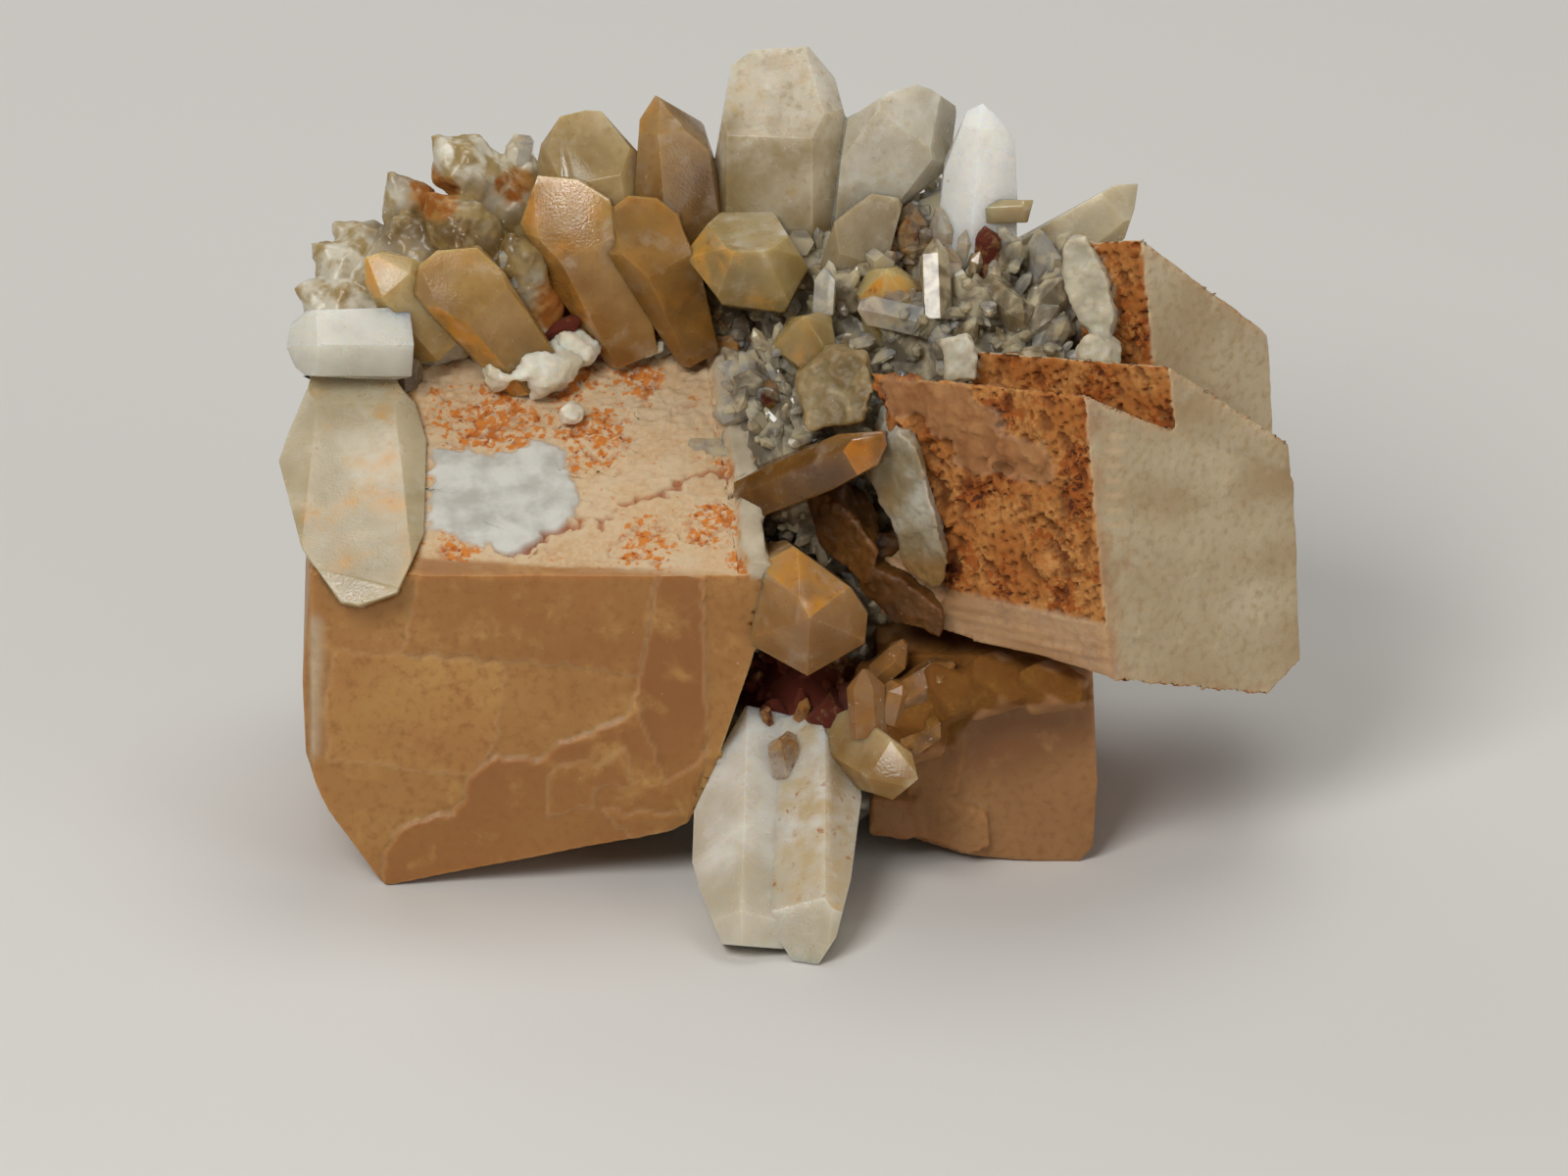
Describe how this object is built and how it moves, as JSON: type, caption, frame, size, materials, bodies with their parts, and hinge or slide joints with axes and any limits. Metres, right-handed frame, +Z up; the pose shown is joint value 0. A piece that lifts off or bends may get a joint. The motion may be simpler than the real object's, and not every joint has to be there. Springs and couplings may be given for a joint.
{
  "type": "calcite with quartz mineral specimen",
  "caption": "Natural mineral specimen: blocky peach calcite rhombs grown round a bed of small quartz points, with a fan of larger milky and smoky quartz points on top.",
  "frame": {"origin": "centre of the specimen's outline seen from above, on the surface that it stands on", "axes": "+Z up, +X along the specimen's width to the right as seen from its show side, +Y to its back"},
  "size_m": [0.1038, 0.085, 0.0744],
  "materials": {
    "calcite_apron": "natural calcite, satin",
    "calcite_bar": "natural calcite, chalky",
    "calcite_block": "natural calcite, chalky",
    "calcite_cream": "natural calcite, chalky",
    "calcite_left": "natural calcite, satin",
    "calcite_lobe": "natural calcite, chalky",
    "calcite_lower": "natural calcite, satin",
    "calcite_right": "natural calcite, satin",
    "chip_cream": "natural calcite, chalky",
    "chip_flake": "natural calcite, chalky",
    "chip_small": "natural calcite, chalky",
    "chip_white": "natural calcite, chalky",
    "quartz_amber": "natural quartz, milky and frosted",
    "quartz_back_left": "natural quartz, milky and frosted",
    "quartz_bar": "natural quartz, milky and frosted",
    "quartz_blade": "natural quartz, milky and frosted",
    "quartz_bottom": "natural quartz, milky and frosted",
    "quartz_bright": "natural quartz, milky and frosted",
    "quartz_brown": "natural quartz, smoky",
    "quartz_cap": "natural quartz, milky and frosted",
    "quartz_centre": "natural quartz, smoky",
    "quartz_druse": "natural quartz, greenish grey",
    "quartz_front_face": "natural quartz, milky and frosted",
    "quartz_front_left": "natural quartz, milky and frosted",
    "quartz_front_middle": "natural quartz, milky and frosted",
    "quartz_front_right": "natural quartz, milky and frosted",
    "quartz_gap": "natural quartz, smoky",
    "quartz_knob": "natural quartz, milky and frosted",
    "quartz_leaning": "natural quartz, milky and frosted",
    "quartz_left_plate": "natural quartz, milky and frosted",
    "quartz_low": "natural quartz, milky and frosted",
    "quartz_pocket": "natural quartz, milky and frosted",
    "quartz_rear_left": "natural quartz, milky and frosted",
    "quartz_rear_middle": "natural quartz, milky and frosted",
    "quartz_rear_right": "natural quartz, milky and frosted",
    "quartz_shelf": "natural quartz, milky and frosted",
    "quartz_smoky": "natural quartz, smoky",
    "quartz_tall": "natural quartz, milky and frosted",
    "quartz_west": "natural quartz, milky and frosted"
  },
  "bodies": {
    "root": {"calcite_apron": "calcite_apron", "calcite_bar": "calcite_bar", "calcite_block": "calcite_block", "calcite_cream": "calcite_cream", "calcite_left": "calcite_left", "calcite_lobe": "calcite_lobe", "calcite_lower": "calcite_lower", "calcite_right": "calcite_right", "chip_cream": "chip_cream", "chip_flake": "chip_flake", "chip_small": "chip_small", "chip_white": "chip_white", "quartz_amber": "quartz_amber", "quartz_back_left": "quartz_back_left", "quartz_bar": "quartz_bar", "quartz_blade": "quartz_blade", "quartz_bottom": "quartz_bottom", "quartz_bright": "quartz_bright", "quartz_brown": "quartz_brown", "quartz_cap": "quartz_cap", "quartz_centre": "quartz_centre", "quartz_druse": "quartz_druse", "quartz_front_face": "quartz_front_face", "quartz_front_left": "quartz_front_left", "quartz_front_middle": "quartz_front_middle", "quartz_front_right": "quartz_front_right", "quartz_gap": "quartz_gap", "quartz_knob": "quartz_knob", "quartz_leaning": "quartz_leaning", "quartz_left_plate": "quartz_left_plate", "quartz_low": "quartz_low", "quartz_pocket": "quartz_pocket", "quartz_rear_left": "quartz_rear_left", "quartz_rear_middle": "quartz_rear_middle", "quartz_rear_right": "quartz_rear_right", "quartz_shelf": "quartz_shelf", "quartz_smoky": "quartz_smoky", "quartz_tall": "quartz_tall", "quartz_west": "quartz_west"}
  },
  "joints": []
}
